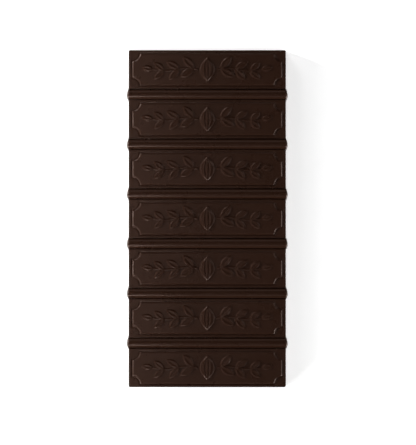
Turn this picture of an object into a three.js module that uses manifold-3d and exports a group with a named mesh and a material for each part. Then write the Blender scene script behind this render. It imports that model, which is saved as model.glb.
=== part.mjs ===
// A moulded dark chocolate tablet: seven panels in a row, with rounded cross beads between them.
// Millimetres, +Z up. The flat back lies on z = 0, the length runs along Y, and the origin is
// the centre of the underside.
import * as THREE from 'three';
import { mergeVertices } from 'three/addons/utils/BufferGeometryUtils.js';
import Module from 'manifold-3d';

// The tablet
const LENGTH = 155;
const WIDTH = 72.5;
const PANEL_TOP = 5.8;
const DRAFT = 0.25;
const CORNER_RADIUS = 0.9;
const PANEL_COUNT = 7;

// The beads that cross it, with a groove along each side. A bead is lopsided: its crest lies
// nearer to its -Y side, by a share of its half width.
const BEAD_WIDTH = 4.56;
const BEAD_FOOT_WIDTH = 6.1;
const BEAD_RISE = 0.8;
const BEAD_SKEW = 0.19;
const SHOULDER_RADIUS = 1.4;
const GROOVE_DEPTH = 0.4;
const GROOVE_FLANK = 0.5;
const PITCH = (LENGTH + BEAD_WIDTH) / PANEL_COUNT;

// The raised plaque on each panel
const PLAQUE_WIDTH = 68.56;
const PLAQUE_LENGTH = 14.65;
const PLAQUE_RISE = 0.35;
const PLAQUE_SLOPE = 0.25;
const SCOOP_RADIUS = 3.5;

// The ornament on each plaque: a cocoa pod between two leafy sprigs
const POD_TIERS = [
  { length: 11, width: 6.6, rise: 0.2 },
  { length: 10, width: 4.2, rise: 0.33 },
  { length: 8.8, width: 1.8, rise: 0.45 },
];
const POD_TIER_SLOPE = 0.25;
const SPRIG_START = 4.2;
const SPRIG_END = 24.6;
const SPRIG_SWAY = 0.6;
const STEM_WIDTH = 0.9;
const STEM_THINNING = 0.4;
const STEM_RISE = 0.28;
const STEM_SLOPE = 0.15;
const LEAF_PAIRS = 3;
const LEAF_RISE = 0.4;
const LEAF_LENGTHS = [7.8, 5.6];
const LEAF_WIDTHS = [3.4, 2.5];
const LEAF_ANGLE = THREE.MathUtils.degToRad(38);
const FIRST_PAIR = 0.25;
const RIB_LENGTH_SHARE = 0.8;
const RIB_WIDTH_SHARE = 0.25;

// How far a raised form reaches down into what carries it, and a cut past what it cuts
const SUNK = 0.2;
const OVERCUT = 1;

// Half the facets of an arc, and the facets round a leaf and a tier of the pod
const ARC_STEPS = 3;
const SMALL_ARC_STEPS = 2;
const STEM_STEPS = 6;
const LEAF_SIDES = 8;
const POD_SIDES = 12;

const wasm = await Module();
wasm.setup();

// A closed three.js geometry as a solid that can be joined and cut.
function solid(geometry) {
  const bare = geometry.clone();
  bare.deleteAttribute('normal');
  bare.deleteAttribute('uv');
  const merged = mergeVertices(bare);
  return new wasm.Manifold(new wasm.Mesh({
    numProp: 3,
    vertProperties: Float32Array.from(merged.attributes.position.array),
    triVerts: Uint32Array.from(merged.index.array),
  }));
}

function joined(parts) {
  return parts.reduce((all, part) => all.add(part));
}

// A form with the outline's full size from z = foot up, whose walls lean in by slope over the
// last rise below its top. Under z = foot it narrows in the same way.
function raised(shape, foot, top, rise, slope, steps = ARC_STEPS) {
  const geometry = new THREE.ExtrudeGeometry(shape, {
    depth: top - foot - rise,
    bevelEnabled: true,
    bevelThickness: rise,
    bevelSize: slope,
    bevelOffset: -slope,
    bevelSegments: 1,
    curveSegments: steps,
  });
  geometry.translate(0, 0, foot);
  return solid(geometry);
}

// A shape drawn in Y and Z, drawn out along X to both sides of the middle.
function alongX(shape, length, steps = ARC_STEPS) {
  const geometry = new THREE.ExtrudeGeometry(shape, {
    depth: length, bevelEnabled: false, curveSegments: steps,
  });
  geometry.translate(0, 0, -length / 2);
  geometry.rotateZ(Math.PI / 2);
  geometry.rotateY(Math.PI / 2);
  return solid(geometry);
}

// A shape drawn in X and Z, drawn out along Y to both sides of the middle.
function alongY(shape, length, steps = ARC_STEPS) {
  const geometry = new THREE.ExtrudeGeometry(shape, {
    depth: length, bevelEnabled: false, curveSegments: steps,
  });
  geometry.translate(0, 0, -length / 2);
  geometry.rotateX(Math.PI / 2);
  return solid(geometry);
}

function roundedRectangle(width, length, radius) {
  const x = width / 2;
  const y = length / 2;
  const shape = new THREE.Shape();
  shape.moveTo(-x + radius, -y);
  shape.lineTo(x - radius, -y);
  shape.absarc(x - radius, -y + radius, radius, -Math.PI / 2, 0);
  shape.lineTo(x, y - radius);
  shape.absarc(x - radius, y - radius, radius, 0, Math.PI / 2);
  shape.lineTo(-x + radius, y);
  shape.absarc(-x + radius, y - radius, radius, Math.PI / 2, Math.PI);
  shape.lineTo(-x, -y + radius);
  shape.absarc(-x + radius, -y + radius, radius, Math.PI, 1.5 * Math.PI);
  return shape;
}

// A rectangle with a quarter circle scooped out of each corner.
function scoopedRectangle(width, length, radius) {
  const x = width / 2;
  const y = length / 2;
  const shape = new THREE.Shape();
  shape.moveTo(-x + radius, -y);
  shape.lineTo(x - radius, -y);
  shape.absarc(x, -y, radius, Math.PI, Math.PI / 2, true);
  shape.lineTo(x, y - radius);
  shape.absarc(x, y, radius, 1.5 * Math.PI, Math.PI, true);
  shape.lineTo(-x + radius, y);
  shape.absarc(-x, y, radius, 0, -Math.PI / 2, true);
  shape.lineTo(-x, -y + radius);
  shape.absarc(-x, -y, radius, Math.PI / 2, 0, true);
  return shape;
}

// What is left of a form above the flat back.
function cutFlat(form) {
  const depth = 2 * PANEL_TOP;
  const below = new THREE.BoxGeometry(2 * WIDTH, 2 * LENGTH, depth);
  below.translate(0, 0, -depth / 2);
  return form.subtract(solid(below));
}

// The tablet without its relief: walls that lean in all round, cut off flat at the back.
function makeSlab() {
  const outline = roundedRectangle(WIDTH, LENGTH, CORNER_RADIUS);
  return cutFlat(raised(outline, -OVERCUT, PANEL_TOP, PANEL_TOP, DRAFT, SMALL_ARC_STEPS));
}

// The channel that a bead lies in, whose flanks are the outer walls of the two grooves.
function makeChannel() {
  const half = BEAD_WIDTH / 2;
  const floor = PANEL_TOP - GROOVE_DEPTH;
  const shape = new THREE.Shape();
  shape.moveTo(-half, floor);
  shape.lineTo(half, floor);
  shape.lineTo(half + GROOVE_FLANK, PANEL_TOP);
  shape.lineTo(half + GROOVE_FLANK, PANEL_TOP + OVERCUT);
  shape.lineTo(-half - GROOVE_FLANK, PANEL_TOP + OVERCUT);
  shape.lineTo(-half - GROOVE_FLANK, PANEL_TOP);
  return alongX(shape, 2 * WIDTH);
}

// The lopsided arc of a bead over a chord: where its crest lies along the chord, and the radius
// and the angle of its short side, towards -Y, and of its long side.
function beadArc(half, rise) {
  const side = (run) => {
    const radius = (run * run + rise * rise) / (2 * rise);
    return { radius, swing: Math.asin(run / radius) };
  };
  const crest = -BEAD_SKEW * half;
  return { crest, short: side(half + crest), long: side(half - crest) };
}

// One bead: an arched section seen from the side, bowed ends seen from above and rounded
// shoulders seen from the end.
function makeBead() {
  const half = BEAD_WIDTH / 2;
  const foot = BEAD_FOOT_WIDTH / 2;
  const crest = PANEL_TOP + BEAD_RISE;
  const groove = PANEL_TOP - GROOVE_DEPTH;
  const up = Math.PI / 2;
  const top = beadArc(half, crest - groove);
  const arch = new THREE.Shape();
  arch.moveTo(-foot, 0);
  arch.lineTo(foot, 0);
  arch.lineTo(half, groove);
  arch.absarc(top.crest, crest - top.long.radius, top.long.radius, up - top.long.swing, up);
  arch.absarc(top.crest, crest - top.short.radius, top.short.radius, up, up + top.short.swing);

  const end = WIDTH / 2;
  const reach = end + BEAD_RISE;
  const bow = beadArc(foot, BEAD_RISE);
  const { short, long } = bow;
  const plan = new THREE.Shape();
  plan.moveTo(-end, -foot);
  plan.lineTo(end, -foot);
  plan.absarc(reach - short.radius, bow.crest, short.radius, -short.swing, 0);
  plan.absarc(reach - long.radius, bow.crest, long.radius, 0, long.swing);
  plan.lineTo(-end, foot);
  plan.absarc(long.radius - reach, bow.crest, long.radius, Math.PI - long.swing, Math.PI);
  plan.absarc(short.radius - reach, bow.crest, short.radius, Math.PI, Math.PI + short.swing);

  const shoulder = reach - DRAFT;
  const across = new THREE.Shape();
  across.moveTo(-reach - OVERCUT, 0);
  across.lineTo(reach + OVERCUT, 0);
  across.lineTo(shoulder, crest - SHOULDER_RADIUS);
  across.absarc(shoulder - SHOULDER_RADIUS, crest - SHOULDER_RADIUS, SHOULDER_RADIUS, 0, Math.PI / 2);
  across.lineTo(-shoulder + SHOULDER_RADIUS, crest);
  across.absarc(-shoulder + SHOULDER_RADIUS, crest - SHOULDER_RADIUS, SHOULDER_RADIUS,
    Math.PI / 2, Math.PI);

  return cutFlat(alongX(arch, 2 * WIDTH)
    .intersect(raised(plan, -OVERCUT, crest, crest, DRAFT, SMALL_ARC_STEPS))
    .intersect(alongY(across, 2 * BEAD_FOOT_WIDTH, SMALL_ARC_STEPS)));
}

// A lens-shaped form with pointed ends along X: a squat frustum whose round outline is pressed
// into two shallow curves. Its outline on z = 0 has the given size, its flat back at z = rise is
// narrower, and its walls go on down below z = 0.
function lens({ length, width, rise, backLength, backWidth, sides }) {
  const flare = SUNK / rise;
  const footLength = length + flare * (length - backLength);
  const footWidth = width + flare * (width - backWidth);
  const geometry = new THREE.CylinderGeometry(1, 1, rise + SUNK, sides);
  geometry.rotateX(Math.PI / 2);
  geometry.translate(0, 0, (rise - SUNK) / 2);
  const position = geometry.attributes.position;
  for (let i = 0; i < position.count; i += 1) {
    const isBack = position.getZ(i) > 0;
    const halfLength = (isBack ? backLength : footLength) / 2;
    const halfWidth = (isBack ? backWidth : footWidth) / 2;
    const y = position.getY(i);
    position.setX(i, position.getX(i) * halfLength);
    position.setY(i, y * Math.abs(y) * halfWidth);
  }
  return geometry;
}

// The stem of the right-hand sprig: a point on it, for t from 0 at the pod to 1 at the tip.
function stemPoint(t) {
  const x = THREE.MathUtils.lerp(SPRIG_START, SPRIG_END, t);
  return new THREE.Vector2(x, SPRIG_SWAY * Math.sin(2 * Math.PI * t));
}

function stemAngle(t) {
  const step = 0.01;
  const ahead = stemPoint(t + step).sub(stemPoint(t - step));
  return Math.atan2(ahead.y, ahead.x);
}

// A ribbon along the sprig that thins towards the tip.
function makeStem() {
  const rightEdge = [];
  const leftEdge = [];
  for (let i = 0; i <= STEM_STEPS; i += 1) {
    const t = i / STEM_STEPS;
    const half = (STEM_WIDTH / 2) * (1 - STEM_THINNING * t);
    const { x, y } = stemPoint(t);
    rightEdge.push(new THREE.Vector2(x, y - half));
    leftEdge.unshift(new THREE.Vector2(x, y + half));
  }
  const outline = new THREE.Shape([...rightEdge, ...leftEdge]);
  return raised(outline, -SUNK, STEM_RISE, STEM_RISE, STEM_SLOPE);
}

function makeLeaf(t, turn) {
  const length = THREE.MathUtils.lerp(LEAF_LENGTHS[0], LEAF_LENGTHS[1], t);
  const width = THREE.MathUtils.lerp(LEAF_WIDTHS[0], LEAF_WIDTHS[1], t);
  const leaf = lens({
    length,
    width,
    rise: LEAF_RISE,
    backLength: RIB_LENGTH_SHARE * length,
    backWidth: RIB_WIDTH_SHARE * width,
    sides: LEAF_SIDES,
  });
  const root = stemPoint(t);
  leaf.translate(length / 2, 0, 0);
  leaf.rotateZ(stemAngle(t) + turn);
  leaf.translate(root.x, root.y, 0);
  return solid(leaf);
}

function makeSprig() {
  const parts = [makeStem(), makeLeaf(1, 0)];
  for (let i = 0; i < LEAF_PAIRS; i += 1) {
    const t = (i + FIRST_PAIR) / LEAF_PAIRS;
    parts.push(makeLeaf(t, LEAF_ANGLE), makeLeaf(t, -LEAF_ANGLE));
  }
  return joined(parts);
}

// The pod stands upright between the sprigs, in lens-shaped tiers that meet at its ends.
function makePod() {
  return joined(POD_TIERS.map(({ length, width, rise }) => {
    const tier = lens({
      length,
      width,
      rise,
      backLength: length - 2 * POD_TIER_SLOPE,
      backWidth: width - 2 * POD_TIER_SLOPE,
      sides: POD_SIDES,
    });
    tier.rotateZ(Math.PI / 2);
    return solid(tier);
  }));
}

function makePlaque() {
  const outline = scoopedRectangle(PLAQUE_WIDTH, PLAQUE_LENGTH, SCOOP_RADIUS);
  const top = PANEL_TOP + PLAQUE_RISE;
  const plaque = raised(outline, PANEL_TOP - SUNK, top, PLAQUE_RISE, PLAQUE_SLOPE);
  const sprig = makeSprig();
  const ornament = joined([makePod(), sprig, sprig.mirror([1, 0, 0])]);
  return plaque.add(ornament.translate([0, 0, top]));
}

function makeBar() {
  const channel = makeChannel();
  const bead = makeBead();
  const plaque = makePlaque();
  let bar = makeSlab();
  for (let i = 0; i < PANEL_COUNT; i += 1) {
    const y = (i - (PANEL_COUNT - 1) / 2) * PITCH;
    bar = bar.add(plaque.translate([0, y, 0]));
    if (i < PANEL_COUNT - 1) {
      const between = [0, y + PITCH / 2, 0];
      bar = bar.subtract(channel.translate(between)).add(bead.translate(between));
    }
  }
  return bar;
}

const { vertProperties, triVerts } = makeBar().getMesh();
const geometry = new THREE.BufferGeometry();
geometry.setAttribute('position', new THREE.BufferAttribute(vertProperties, 3));
geometry.setIndex(new THREE.BufferAttribute(triVerts, 1));

const darkChocolate = new THREE.MeshStandardMaterial({
  color: 0x35231c, roughness: 0.42, metalness: 0,
});

const bar = new THREE.Mesh(geometry, darkChocolate);
bar.name = 'chocolate_bar';

const tablet = new THREE.Group();
tablet.add(bar);

export default tablet;
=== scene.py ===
"""A moulded dark chocolate bar, seen from straight above on a pale floor."""

import math

import bpy
import numpy as np
from mathutils import Matrix, Vector


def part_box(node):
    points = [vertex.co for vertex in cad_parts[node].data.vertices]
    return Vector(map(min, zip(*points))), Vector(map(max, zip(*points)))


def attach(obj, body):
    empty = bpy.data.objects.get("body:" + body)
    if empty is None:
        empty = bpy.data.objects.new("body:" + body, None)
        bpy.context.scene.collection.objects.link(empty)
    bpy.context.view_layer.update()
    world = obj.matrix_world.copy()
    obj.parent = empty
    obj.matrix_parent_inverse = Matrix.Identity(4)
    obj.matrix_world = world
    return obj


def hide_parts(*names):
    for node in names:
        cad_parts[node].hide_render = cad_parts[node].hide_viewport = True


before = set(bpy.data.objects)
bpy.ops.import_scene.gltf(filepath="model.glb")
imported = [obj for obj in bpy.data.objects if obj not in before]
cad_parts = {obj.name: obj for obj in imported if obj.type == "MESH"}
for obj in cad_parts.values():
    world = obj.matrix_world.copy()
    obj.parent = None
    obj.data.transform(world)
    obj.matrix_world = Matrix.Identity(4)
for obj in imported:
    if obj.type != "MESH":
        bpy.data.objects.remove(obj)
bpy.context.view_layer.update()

# Everything on the bar is worked out in millimetres, as the solid was, and becomes metres last
MM = 0.001
LOW, HIGH = (np.array(corner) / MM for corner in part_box("chocolate_bar"))

# The tablet
LENGTH = HIGH[1] - LOW[1]
BEAD_RISE = 0.8
WIDTH = HIGH[0] - LOW[0] - 2 * BEAD_RISE
PANEL_TOP = HIGH[2] - BEAD_RISE
DRAFT = 0.25
CORNER_RADIUS = 0.9
PANEL_COUNT = 7
TOP_EDGE_RADIUS = 0.28
BACK_EDGE_RADIUS = 0.3
WALL_ROWS = 5
BACK_EDGE_ROWS = 4

# The beads that cross it, with a groove along each side. A bead is lopsided: its crest lies
# nearer to its -Y side, by a share of its half width, and the groove on its +Y side is deeper.
BEAD_WIDTH = 4.56
BEAD_FOOT_WIDTH = 6.1
BEAD_SKEW = 0.19
BEAD_END_ROUNDING = 0.1
GROOVE_DEPTH = 0.56
BACK_GROOVE_DEPTH = 0.78
GROOVE_FLANK = 0.36
GROOVE_ROUNDING = 0.04
PANEL_EDGE_ROUNDING = 0.07
PANEL_ROLL_WIDTH = 1.7
PANEL_ROLL_DROP = 0.03
PITCH = (LENGTH + BEAD_WIDTH) / PANEL_COUNT

# The raised plaque on each panel, with a fine line pressed in along its foot
PLAQUE_WIDTH = 68.56
PLAQUE_LENGTH = 14.65
PLAQUE_RISE = 0.35
PLAQUE_SLOPE = 0.5
FOOT_LINE_WIDTH = 0.44
FOOT_LINE_DEPTH = 0.11
FOOT_LINE_DEEPENING = 0.08
SCOOP_RADIUS = 3.5

# The ornament on each plaque: a cocoa pod between two leafy sprigs
POD_LENGTH = 11
POD_WIDTH = 6.6
POD_RISE = 0.32
POD_FALL = 0.6
POD_RIDGE_RISE = 0.2
POD_RIDGES = 2
SPRIG_START = 4.2
SPRIG_END = 24.6
SPRIG_SWAY = 0.6
STEM_WIDTH = 0.9
STEM_THINNING = 0.4
STEM_RISE = 0.3
STEM_SLOPE = 0.8
LEAF_PAIRS = 3
LEAF_RISE = 0.44
LEAF_HOLLOW = 0.62
LEAF_LENGTHS = (7.8, 5.6)
LEAF_WIDTHS = (3.4, 2.5)
LEAF_ANGLE = math.radians(38)
FIRST_PAIR = 0.25
RELIEF_SLOPE = 0.34
MIN_HALF_WIDTH = 0.001

# The faint unevenness of the moulded face and the shallow dips in the poured back: how high,
# how long a wave is, and the seed. Each is a sum of waves, scaled to about 1.
FACE_UNEVENNESS = (0.02, 26, 3)
BACK_DIPS = (0.1, 18, 8)
WAVE_COUNT = 9
WAVE_LENGTHS = (0.7, 1.8)
WAVE_SUM = 5

# Spacing of the surface's points where it is plain, carved, and stepped. Lines that are the
# same to so many digits are one line.
PLAIN_STEP = 0.46
CARVED_STEP = 0.31
BEAD_STEP = 0.26
EDGE_STEP = 0.1
EDGE_ROWS = 6
BACK_STEP = 3.0
BACK_MARGIN = 1.6
DIGITS = 5
DIGITS_ALONG = 3
NEARLY_ZERO = 1e-9

# The photograph's frame, in pixels, and where the bar lies in it
FRAME_WIDTH_PX = 416
FRAME_HEIGHT_PX = 445
BAR_TOP_PX = 50.4
BAR_BOTTOM_PX = 386.95
BAR_LEFT_PX = 128.6
BAR_RIGHT_PX = 285.9
SENSOR_MM = 36
CAMERA_HEIGHT = 1.2
CLIP_END = 20

# The floor, in metres
FLOOR_HALF = 2.5
FLOOR_LEVEL = -0.00005

# The chocolate's and the floor's colours, and how brightly the floor shines by itself
DEEP_BROWN = (0.0146, 0.0057, 0.0030)
PLAIN_BROWN = (0.0158, 0.0062, 0.0034)
BLOOM = (0.0190, 0.0087, 0.0054)
GLOSS_TINT = (0.74, 0.54, 0.47)
DARKER_FLOOR = (0.86, 0.86, 0.86)
LIGHTER_FLOOR = (0.9, 0.9, 0.9)
FLOOR_GLOW = 0.4

# The soft lights round the bar, in metres, degrees and watts
LIGHT_DISTANCE = 0.9
SMALL_BOX = 0.1
LARGE_BOX = 0.25
WORLD_STRENGTH = 0.002

# Name, azimuth from +X towards +Y, elevation, power and side of each square light. The low
# ones draw the thin bright lines along the plaques' slopes.
SOFT_BOXES = (
    ("low_left", 210, 7, 11.8, SMALL_BOX),
    ("left", 180, 10, 2.0, SMALL_BOX),
    ("low_back_left", 156, 12, 12.8, SMALL_BOX),
    ("low_front_left", 225, 16, 3.1, SMALL_BOX),
    ("low_right", 330, 10, 11.6, LARGE_BOX),
    ("low_far_right", 0, 9, 0.8, SMALL_BOX),
    ("right", 0, 32, 1.0, LARGE_BOX),
    ("back_right", 30, 50, 0.58, LARGE_BOX),
    ("back_left", 120, 20, 2.7, LARGE_BOX),
    ("back", 90, 22, 0.22, LARGE_BOX),
    ("front", 270, 50, 0.3, LARGE_BOX),
    ("high_front", 300, 68, 0.105, LARGE_BOX),
)

# Name, (x, height, x aimed at), lean along -Y, power, sides and spread of each long light.
# They brighten the left part of the face and of the beads' crests.
LONG_BOXES = (
    ("over_left", (-0.088, 0.5, 0), 0, 0.0044, (0.05, 0.28), 24),
    ("crest_beam_low", (-0.08, 0.3, -0.06), 0.85, 0.048, (0.04, 0.7), 18),
    ("crest_beam_high", (-0.08, 0.3, -0.06), 0.45, 0.025, (0.04, 0.7), 18),
)


def smooth(t):
    """0 below t = 0, 1 above t = 1, and an easy slope between."""
    t = np.clip(t, 0, 1)
    return t * t * (3 - 2 * t)


def soft_max(a, b, reach):
    """The larger of a and b, with the corner between them rounded."""
    h = np.clip(0.5 + 0.5 * (a - b) / reach, 0, 1)
    return b + (a - b) * h + reach * h * (1 - h)


def soft_min(a, b, reach):
    """The smaller of a and b, with the corner between them rounded."""
    return -soft_max(-a, -b, reach)


def bead_arc(across, half_width, rise):
    """How far a bead's lopsided arc stands over its chord, by the place along the chord."""
    crest = -BEAD_SKEW * half_width
    run = half_width + np.where(across < crest, crest, -crest)
    radius = (run**2 + rise**2) / (2 * rise)
    inside = np.clip(radius**2 - (across - crest) ** 2, 0, None)
    return np.sqrt(inside) - (radius - rise)


def bead_height(across):
    """The bead and its two grooves, over the panel's top, by the place across the bead.

    On the bead's +Y side the panel sinks a little towards the groove.
    """
    half_width = BEAD_WIDTH / 2
    away = np.abs(across)
    depth = np.where(across > -BEAD_SKEW * half_width, BACK_GROOVE_DEPTH, GROOVE_DEPTH)
    arch = bead_arc(across, half_width, BEAD_RISE + depth) - depth
    arch = np.where(away > half_width + GROOVE_FLANK, -BEAD_RISE, arch)
    flank = depth * ((away - half_width) / GROOVE_FLANK - 1)
    rolled = np.clip(1 - (across - half_width - GROOVE_FLANK) / PANEL_ROLL_WIDTH, 0, 1)
    panel = np.where(across > 0, -PANEL_ROLL_DROP * rolled**2, 0)
    return soft_max(arch, soft_min(flank, panel, PANEL_EDGE_ROUNDING), GROOVE_ROUNDING)


def bead_end_reach(across, height):
    """How far the bead's end stands out of the side wall, at a height over the floor."""
    up = np.clip(height / PANEL_TOP, 0, 1)
    half_width = (BEAD_FOOT_WIDTH + (BEAD_WIDTH - BEAD_FOOT_WIDTH) * up) / 2
    bow = bead_arc(across, half_width, BEAD_RISE)
    return soft_max(np.where(np.abs(across) < half_width, bow, -BEAD_RISE), 0, BEAD_END_ROUNDING)


def plaque_height(x, y):
    """The raised plaque: a rectangle with a quarter circle scooped out of each corner.

    The line at its foot is pressed in deepest along its -Y edge.
    """
    front = -y
    x = np.abs(x)
    y = np.abs(y)
    out_of_sides = np.maximum(x - PLAQUE_WIDTH / 2, y - PLAQUE_LENGTH / 2)
    to_corner = np.hypot(x - PLAQUE_WIDTH / 2, y - PLAQUE_LENGTH / 2)
    outside = np.maximum(out_of_sides, SCOOP_RADIUS - to_corner)
    pressed = np.clip(1 - np.abs(2 * outside / FOOT_LINE_WIDTH - 1), 0, 1)
    deeper = smooth((front - PLAQUE_LENGTH / 4) / (PLAQUE_LENGTH / 4))
    depth = FOOT_LINE_DEPTH + FOOT_LINE_DEEPENING * deeper
    return PLAQUE_RISE * smooth(-outside / PLAQUE_SLOPE) - depth * smooth(pressed)


def lens(along, across, length, width):
    """Distance inside a pointed lens shape, and the share of its half width, 0 on its axis."""
    u = 2 * along / length
    half = np.clip(width / 2 * (1 - u * u), 0, None)
    lean = 2 * width * u / length
    inside = (half - np.abs(across)) / np.sqrt(1 + lean * lean)
    share = np.abs(across) / np.maximum(half, MIN_HALF_WIDTH)
    return np.where(np.abs(u) < 1, inside, -1), np.clip(share, 0, 1)


def pod_height(x, y):
    """A cocoa pod: a domed lens with rounded ribs from end to end and sharp valleys between."""
    inside, share = lens(y, x, POD_LENGTH, POD_WIDTH)
    dome = POD_RISE * np.sqrt(1 - POD_FALL * share**2)
    ribs = POD_RIDGE_RISE * np.abs(np.cos(POD_RIDGES * math.pi * share))
    return (dome + ribs) * smooth(inside / RELIEF_SLOPE)


def stem_at(t):
    """The middle of the swaying stem at a share of its length."""
    x = SPRIG_START + (SPRIG_END - SPRIG_START) * t
    return x, SPRIG_SWAY * math.sin(2 * math.pi * t)


def stem_angle(t):
    """The way the stem runs at a share of its length."""
    run = SPRIG_END - SPRIG_START
    return math.atan2(SPRIG_SWAY * 2 * math.pi * math.cos(2 * math.pi * t), run)


def stem_height(x, y):
    """The stem: a low ridge that thins towards its tip."""
    t = (x - SPRIG_START) / (SPRIG_END - SPRIG_START)
    middle = SPRIG_SWAY * np.sin(2 * math.pi * t)
    half = STEM_WIDTH / 2 * (1 - STEM_THINNING * t)
    inside = np.minimum(half - np.abs(y - middle), x - SPRIG_START)
    inside = np.where(t < 1, inside, -1)
    return STEM_RISE * smooth(inside / (STEM_SLOPE * STEM_WIDTH / 2))


def leaf_height(x, y, t, turn):
    """One leaf that leaves the stem at t: its two halves slope down to a sharp midrib line."""
    length = LEAF_LENGTHS[0] + (LEAF_LENGTHS[1] - LEAF_LENGTHS[0]) * t
    width = LEAF_WIDTHS[0] + (LEAF_WIDTHS[1] - LEAF_WIDTHS[0]) * t
    root_x, root_y = stem_at(t)
    angle = stem_angle(t) + turn
    along = (x - root_x) * math.cos(angle) + (y - root_y) * math.sin(angle) - length / 2
    across = (y - root_y) * math.cos(angle) - (x - root_x) * math.sin(angle)
    inside, share = lens(along, across, length, width)
    blade = LEAF_RISE * (1 - LEAF_HOLLOW * (1 - share))
    return blade * smooth(inside / RELIEF_SLOPE)


def ornament_height(x, y):
    """Everything on the plaque. The sprigs are alike on both sides."""
    right = np.abs(x)
    height = np.maximum(pod_height(x, y), stem_height(right, y))
    height = np.maximum(height, leaf_height(right, y, 1, 0))
    for pair in range(LEAF_PAIRS):
        t = (pair + FIRST_PAIR) / LEAF_PAIRS
        for turn in (LEAF_ANGLE, -LEAF_ANGLE):
            height = np.maximum(height, leaf_height(right, y, t, turn))
    return height


def spaced(start, stop, step):
    """Evenly spaced numbers from start to stop, no further apart than a step."""
    return np.linspace(start, stop, math.ceil((stop - start) / step) + 1)


def edge_lines(half_size):
    """The last lines before an edge, which the rounded edge is bent from."""
    reach = DRAFT + TOP_EDGE_RADIUS
    return half_size - np.linspace(0, reach, EDGE_ROWS)


def both_sides(lines):
    """The lines and their mirror images, in order and each once."""
    return np.unique(np.round(np.concatenate([-lines, lines]), DIGITS))


def lines_across():
    """X of the surface's lines: close where the relief is, closest at the plaque's ends."""
    plaque_end = PLAQUE_WIDTH / 2
    last = WIDTH / 2 - DRAFT - TOP_EDGE_RADIUS
    return both_sides(np.concatenate([
        spaced(0, plaque_end - PLAQUE_SLOPE, CARVED_STEP),
        spaced(plaque_end - PLAQUE_SLOPE, plaque_end + FOOT_LINE_WIDTH, EDGE_STEP),
        spaced(plaque_end + FOOT_LINE_WIDTH, last, PLAIN_STEP),
        edge_lines(WIDTH / 2),
    ]))


def lines_along():
    """Y of the surface's lines: one panel's set, repeated, up to the bar's two ends."""
    plaque_edge = PLAQUE_LENGTH / 2
    groove = PITCH / 2 - BEAD_WIDTH / 2 - GROOVE_FLANK
    one = both_sides(np.concatenate([
        spaced(0, plaque_edge - PLAQUE_SLOPE, CARVED_STEP),
        spaced(plaque_edge - PLAQUE_SLOPE, plaque_edge + FOOT_LINE_WIDTH, EDGE_STEP),
        spaced(plaque_edge + FOOT_LINE_WIDTH, groove - EDGE_STEP, PLAIN_STEP),
        spaced(groove - EDGE_STEP, groove + GROOVE_FLANK + EDGE_STEP, EDGE_STEP),
        spaced(groove + GROOVE_FLANK + EDGE_STEP, PITCH / 2, BEAD_STEP),
    ]))
    middles = PITCH * (np.arange(PANEL_COUNT) - (PANEL_COUNT - 1) / 2)
    every = np.concatenate([middle + one for middle in middles])
    last = LENGTH / 2 - DRAFT - TOP_EDGE_RADIUS
    inner = every[np.abs(every) < last - 0.5 * EDGE_STEP]
    ends = both_sides(edge_lines(LENGTH / 2))
    return np.unique(np.round(np.concatenate([inner, ends]), DIGITS_ALONG))


def place_across_bead(y):
    """Y from the nearest bead's middle, out of reach on the outer half of the end panels."""
    local = y - PITCH * np.round(y / PITCH)
    outer = np.abs(y) > PITCH * (PANEL_COUNT - 1) / 2
    return np.where(outer, PITCH, np.where(local < 0, local + PITCH / 2, local - PITCH / 2))


def waviness(x, y, size, seed):
    """A slow, seeded unevenness between about -1 and 1."""
    draw = np.random.default_rng(seed)
    total = np.zeros_like(x)
    for _ in range(WAVE_COUNT):
        angle, phase = draw.uniform(0, 2 * math.pi, 2)
        wave = size * draw.uniform(*WAVE_LENGTHS)
        total += np.sin(2 * math.pi * (x * math.cos(angle) + y * math.sin(angle)) / wave + phase)
    return total / WAVE_SUM


def inset_points(x, y, inset):
    """Points of the outline's grid moved in from the outline, with the way out at each."""
    side_x = np.abs(x) - (WIDTH / 2 - CORNER_RADIUS)
    side_y = np.abs(y) - (LENGTH / 2 - CORNER_RADIUS)
    in_corner = (side_x > 0) & (side_y > 0)
    depth = np.minimum(WIDTH / 2 - np.abs(x), LENGTH / 2 - np.abs(y))
    reach = np.maximum(np.hypot(side_x, side_y), NEARLY_ZERO)
    nearer_x = WIDTH / 2 - np.abs(x) <= LENGTH / 2 - np.abs(y)
    out_x = np.where(in_corner, side_x / reach, np.where(nearer_x, 1.0, 0.0)) * np.sign(x)
    out_y = np.where(in_corner, side_y / reach, np.where(nearer_x, 0.0, 1.0)) * np.sign(y)
    round_x = np.sign(x) * (WIDTH / 2 - CORNER_RADIUS) + out_x * (CORNER_RADIUS - depth)
    round_y = np.sign(y) * (LENGTH / 2 - CORNER_RADIUS) + out_y * (CORNER_RADIUS - depth)
    base_x = np.where(in_corner, round_x, x)
    base_y = np.where(in_corner, round_y, y)
    move = depth - inset
    return base_x + out_x * move, base_y + out_y * move, out_x, out_y


def top_surface(x, y):
    """The moulded face, with its rounded edge, as x, y and z."""
    depth = np.minimum(WIDTH / 2 - np.abs(x), LENGTH / 2 - np.abs(y))
    edge = DRAFT + TOP_EDGE_RADIUS
    lean = math.pi / 2 * np.clip(1 - depth / edge, 0, 1)
    inset = np.where(depth < edge, edge - TOP_EDGE_RADIUS * np.sin(lean), depth)
    place_x, place_y, out_x, _ = inset_points(x, y, inset)
    drop = TOP_EDGE_RADIUS * (1 - np.cos(lean))
    across = place_across_bead(y)
    local = y - PITCH * np.round(y / PITCH)
    plaque = plaque_height(x, local)
    relief = plaque + ornament_height(x, local) * (plaque > 0)
    rise = bead_height(across) * np.cos(lean) + relief
    bow = bead_end_reach(across, np.full_like(y, PANEL_TOP)) * np.sin(lean)
    height, size, seed = FACE_UNEVENNESS
    uneven = height * waviness(x, y, size, seed) * (depth > edge)
    return place_x + out_x * bow, place_y, PANEL_TOP - drop + rise + uneven


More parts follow.
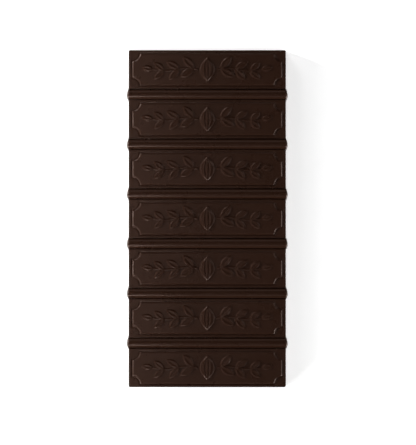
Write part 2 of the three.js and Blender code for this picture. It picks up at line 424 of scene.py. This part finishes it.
def wall_profile():
    """Inset and height of the side wall's rows, from the rounded top edge to the back."""
    top = PANEL_TOP - TOP_EDGE_RADIUS
    heights = np.linspace(top, BACK_EDGE_RADIUS, WALL_ROWS + 1)[1:]
    rows = [(DRAFT * height / PANEL_TOP, height) for height in heights]
    for step in range(1, BACK_EDGE_ROWS + 1):
        lean = math.pi / 2 * step / BACK_EDGE_ROWS
        inset = BACK_EDGE_RADIUS * (1 - math.cos(lean))
        rows.append((inset, BACK_EDGE_RADIUS * (1 - math.sin(lean))))
    return rows


def back_height(x, y):
    """The poured back: nearly flat, with shallow dips that never reach below the floor."""
    height, size, seed = BACK_DIPS
    dips = 0.5 + 0.5 * np.clip(waviness(x, y, size, seed), -1, 1)
    return height * dips


def loop_of(grid):
    """The point numbers round a grid's rim, once round, counterclockwise from above."""
    return np.concatenate([grid[0, :-1], grid[:-1, -1], grid[-1, :0:-1], grid[:0:-1, 0]])


def grid_faces(grid, flip=False):
    """The four-sided faces between a grid's points, turned to face down if flipped."""
    corners = (grid[:-1, :-1], grid[:-1, 1:], grid[1:, 1:], grid[1:, :-1])
    faces = np.stack([corner.ravel() for corner in corners], axis=1)
    return faces[:, ::-1] if flip else faces


def stitched(outer, inner, points):
    """Triangles between two loops that run the same way, matched by the angle round the bar."""
    def turns(loop):
        at = points[loop]
        angle = np.unwrap(np.arctan2(at[:, 1] / LENGTH, at[:, 0] / WIDTH))
        return np.append(angle, angle[0] + 2 * math.pi)
    outer_turn = turns(outer)
    inner_turn = turns(inner)
    faces = []
    i = j = 0
    while i < len(outer) or j < len(inner):
        next_outer = outer_turn[i + 1] if i < len(outer) else math.inf
        next_inner = inner_turn[j + 1] if j < len(inner) else math.inf
        a, b = outer[i % len(outer)], inner[j % len(inner)]
        if next_outer <= next_inner:
            faces.append((a, b, outer[(i + 1) % len(outer)]))
            i += 1
        else:
            faces.append((a, b, inner[(j + 1) % len(inner)]))
            j += 1
    return faces


def make_bar():
    """The whole skin of the bar as one closed mesh."""
    x, y = np.meshgrid(lines_across(), lines_along())
    top = np.arange(x.size).reshape(x.shape)
    points = [np.stack([part.ravel() for part in top_surface(x, y)], axis=1)]
    quads = [grid_faces(top)]

    rim = loop_of(top)
    rim_x, rim_y = x.ravel()[rim], y.ravel()[rim]
    across = place_across_bead(rim_y)
    count = x.size
    above = rim
    for inset, height in wall_profile():
        place_x, place_y, out_x, _ = inset_points(rim_x, rim_y, inset)
        bow = bead_end_reach(across, np.full_like(rim_x, height))
        row = np.stack([place_x + out_x * bow, place_y, np.full_like(rim_x, height)], axis=1)
        points.append(row)
        below = count + np.arange(len(rim))
        count += len(rim)
        after = np.roll(np.arange(len(rim)), -1)
        quads.append(np.stack([above, below, below[after], above[after]], axis=1))
        above = below

    back_half_x, back_half_y = WIDTH / 2 - BACK_MARGIN, LENGTH / 2 - BACK_MARGIN
    back_x, back_y = np.meshgrid(
        spaced(-back_half_x, back_half_x, BACK_STEP),
        spaced(-back_half_y, back_half_y, BACK_STEP),
    )
    back = count + np.arange(back_x.size).reshape(back_x.shape)
    heights = back_height(back_x, back_y)
    points.append(np.stack([back_x.ravel(), back_y.ravel(), heights.ravel()], axis=1))
    quads.append(grid_faces(back, flip=True))

    points = np.concatenate(points)
    quads = np.concatenate(quads)
    ring = stitched(above, loop_of(back), points)
    mesh = bpy.data.meshes.new("bar_skin")
    mesh.from_pydata((points * MM).tolist(), [], quads.tolist() + ring)
    mesh.validate()
    mesh.shade_smooth()
    piece = bpy.data.objects.new("bar_skin", mesh)
    bpy.context.scene.collection.objects.link(piece)
    return piece


class Nodes:
    """Short calls for a material's nodes."""

    def __init__(self, name):
        self.material = bpy.data.materials.new(name)
        self.material.use_nodes = True
        self.tree = self.material.node_tree
        self.shader = self.tree.nodes["Principled BSDF"]
        self.place = self.add("ShaderNodeTexCoord")

    def add(self, kind, **settings):
        """A new node with its settings."""
        node = self.tree.nodes.new(kind)
        for key, value in settings.items():
            setattr(node, key, value)
        return node

    def link(self, out, into):
        self.tree.links.new(out, into)

    def noise(self, scale, detail=3.0, roughness=0.5, distortion=0.0):
        """Noise in the object's own coordinates."""
        node = self.add("ShaderNodeTexNoise")
        node.inputs["Scale"].default_value = scale
        node.inputs["Detail"].default_value = detail
        node.inputs["Roughness"].default_value = roughness
        node.inputs["Distortion"].default_value = distortion
        self.link(self.place.outputs["Object"], node.inputs["Vector"])
        return node.outputs["Fac"]

    def between(self, value, low, high, to_low=0.0, to_high=1.0):
        """A value eased from one range into another."""
        node = self.add("ShaderNodeMapRange", interpolation_type="SMOOTHSTEP")
        for name, number in (
            ("From Min", low), ("From Max", high), ("To Min", to_low), ("To Max", to_high),
        ):
            node.inputs[name].default_value = number
        self.link(value, node.inputs["Value"])
        return node.outputs["Result"]

    def mixed(self, share, first, second):
        """Two colours, or colour outputs, mixed by a share."""
        node = self.add("ShaderNodeMix", data_type="RGBA")
        self.link(share, node.inputs["Factor"])
        for socket, value in (("A", first), ("B", second)):
            into = next(s for s in node.inputs if s.name == socket and s.type == "RGBA")
            if isinstance(value, tuple):
                into.default_value = (*value, 1)
            else:
                self.link(value, into)
        return next(s for s in node.outputs if s.type == "RGBA")

    def bump(self, height, distance, strength, under=None):
        """A bump, over another one if it is given."""
        node = self.add("ShaderNodeBump")
        node.inputs["Distance"].default_value = distance
        node.inputs["Strength"].default_value = strength
        self.link(height, node.inputs["Height"])
        if under:
            self.link(under, node.inputs["Normal"])
        return node.outputs["Normal"]


def dark_chocolate():
    """Satin dark chocolate: two close browns, faint bloom, rubbed patches and fine grain."""
    n = Nodes("dark_chocolate")
    patches = n.noise(scale=55, detail=4)
    tone = n.mixed(n.between(patches, low=0.35, high=0.65), DEEP_BROWN, PLAIN_BROWN)
    clouds = n.noise(scale=23, detail=6, roughness=0.6, distortion=0.6)
    haze = n.between(clouds, low=0.52, high=0.78, to_low=0.0, to_high=0.35)
    n.link(n.mixed(haze, tone, BLOOM), n.shader.inputs["Base Color"])
    rubbed = n.noise(scale=90, detail=5, roughness=0.6, distortion=0.4)
    satin = n.between(rubbed, low=0.3, high=0.7, to_low=0.265, to_high=0.3)
    n.link(satin, n.shader.inputs["Roughness"])
    n.shader.inputs["IOR"].default_value = 1.4
    n.shader.inputs["Specular Tint"].default_value = (*GLOSS_TINT, 1)
    ripple = n.bump(n.noise(scale=160, detail=2), distance=0.00002, strength=0.3)
    grain = n.bump(n.noise(scale=2400, detail=3), distance=0.000006, strength=0.5, under=ripple)
    n.link(grain, n.shader.inputs["Normal"])
    return n.material


def pale_floor():
    """A dull, nearly white floor that shines faintly, so that it stays pale under weak lights."""
    n = Nodes("pale_floor")
    tone = n.mixed(n.noise(scale=6, detail=2), DARKER_FLOOR, LIGHTER_FLOOR)
    n.link(tone, n.shader.inputs["Base Color"])
    n.shader.inputs["Roughness"].default_value = 0.9
    n.shader.inputs["Specular IOR Level"].default_value = 0.1
    n.shader.inputs["Emission Color"].default_value = (1, 1, 1, 1)
    n.shader.inputs["Emission Strength"].default_value = FLOOR_GLOW
    return n.material


def make_floor():
    """The floor, a hair below the bar's back."""
    mesh = bpy.data.meshes.new("floor")
    signs = ((-1, -1), (1, -1), (1, 1), (-1, 1))
    corners = [(x * FLOOR_HALF, y * FLOOR_HALF, FLOOR_LEVEL) for x, y in signs]
    mesh.from_pydata(corners, [], [(0, 1, 2, 3)])
    floor = bpy.data.objects.new("floor", mesh)
    bpy.context.scene.collection.objects.link(floor)
    floor.data.materials.append(pale_floor())


def make_camera():
    """Straight above, on a long lens, framed as the photograph is."""
    metres_per_px = LENGTH * MM / (BAR_BOTTOM_PX - BAR_TOP_PX)
    middle_x = (BAR_LEFT_PX + BAR_RIGHT_PX) / 2
    middle_y = (BAR_TOP_PX + BAR_BOTTOM_PX) / 2
    data = bpy.data.cameras.new("camera")
    data.sensor_width = SENSOR_MM
    data.sensor_fit = "AUTO"
    data.lens = SENSOR_MM * CAMERA_HEIGHT / (FRAME_HEIGHT_PX * metres_per_px)
    data.clip_end = CLIP_END
    camera = bpy.data.objects.new("camera", data)
    camera.location = (
        (FRAME_WIDTH_PX / 2 - middle_x) * metres_per_px,
        (middle_y - FRAME_HEIGHT_PX / 2) * metres_per_px,
        CAMERA_HEIGHT,
    )
    bpy.context.scene.collection.objects.link(camera)
    bpy.context.scene.camera = camera


def soft_box(name, azimuth, elevation, power, size):
    """A square soft light that faces the bar."""
    turn, lift = math.radians(azimuth), math.radians(elevation)
    away = Vector((math.cos(turn) * math.cos(lift), math.sin(turn) * math.cos(lift), math.sin(lift)))
    area_light(name, power, (size, size), away * LIGHT_DISTANCE, away.to_track_quat("Z", "Y"))


def long_box(name, place, lean, power, size, spread):
    """A light longer than the bar, over it along Y, with a narrow beam that leans along Y."""
    x, height, aim_x = place
    run = math.hypot(x - aim_x, height)
    back = Vector((x - aim_x, -lean * run, height)).normalized()
    along = (Vector((0, 1, 0)) - back * back.y).normalized()
    turn = Matrix((along.cross(back), along, back)).transposed()
    lamp = area_light(name, power, size, (x, -lean * run, height), turn)
    lamp.spread = math.radians(spread)


def area_light(name, power, size, place, turn):
    """A rectangular light at a place, turned so that its +Z points away from what it lights."""
    lamp = bpy.data.lights.new(name, "AREA")
    lamp.shape = "RECTANGLE"
    lamp.size, lamp.size_y = size
    lamp.energy = power
    holder = bpy.data.objects.new(name, lamp)
    holder.location = place
    holder.rotation_euler = turn.to_euler()
    bpy.context.scene.collection.objects.link(holder)
    return lamp


def make_lights():
    """The lights, and a nearly dark world round them."""
    for values in SOFT_BOXES:
        soft_box(*values)
    for values in LONG_BOXES:
        long_box(*values)
    world = bpy.data.worlds.new("room")
    world.use_nodes = True
    background = world.node_tree.nodes["Background"]
    background.inputs["Color"].default_value = (1, 1, 1, 1)
    background.inputs["Strength"].default_value = WORLD_STRENGTH
    scene = bpy.context.scene
    scene.world = world
    scene.view_settings.view_transform = "Standard"


make_camera()
make_lights()
make_floor()
bar = make_bar()
bar.data.materials.append(dark_chocolate())
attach(bar, "root")
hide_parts("chocolate_bar")
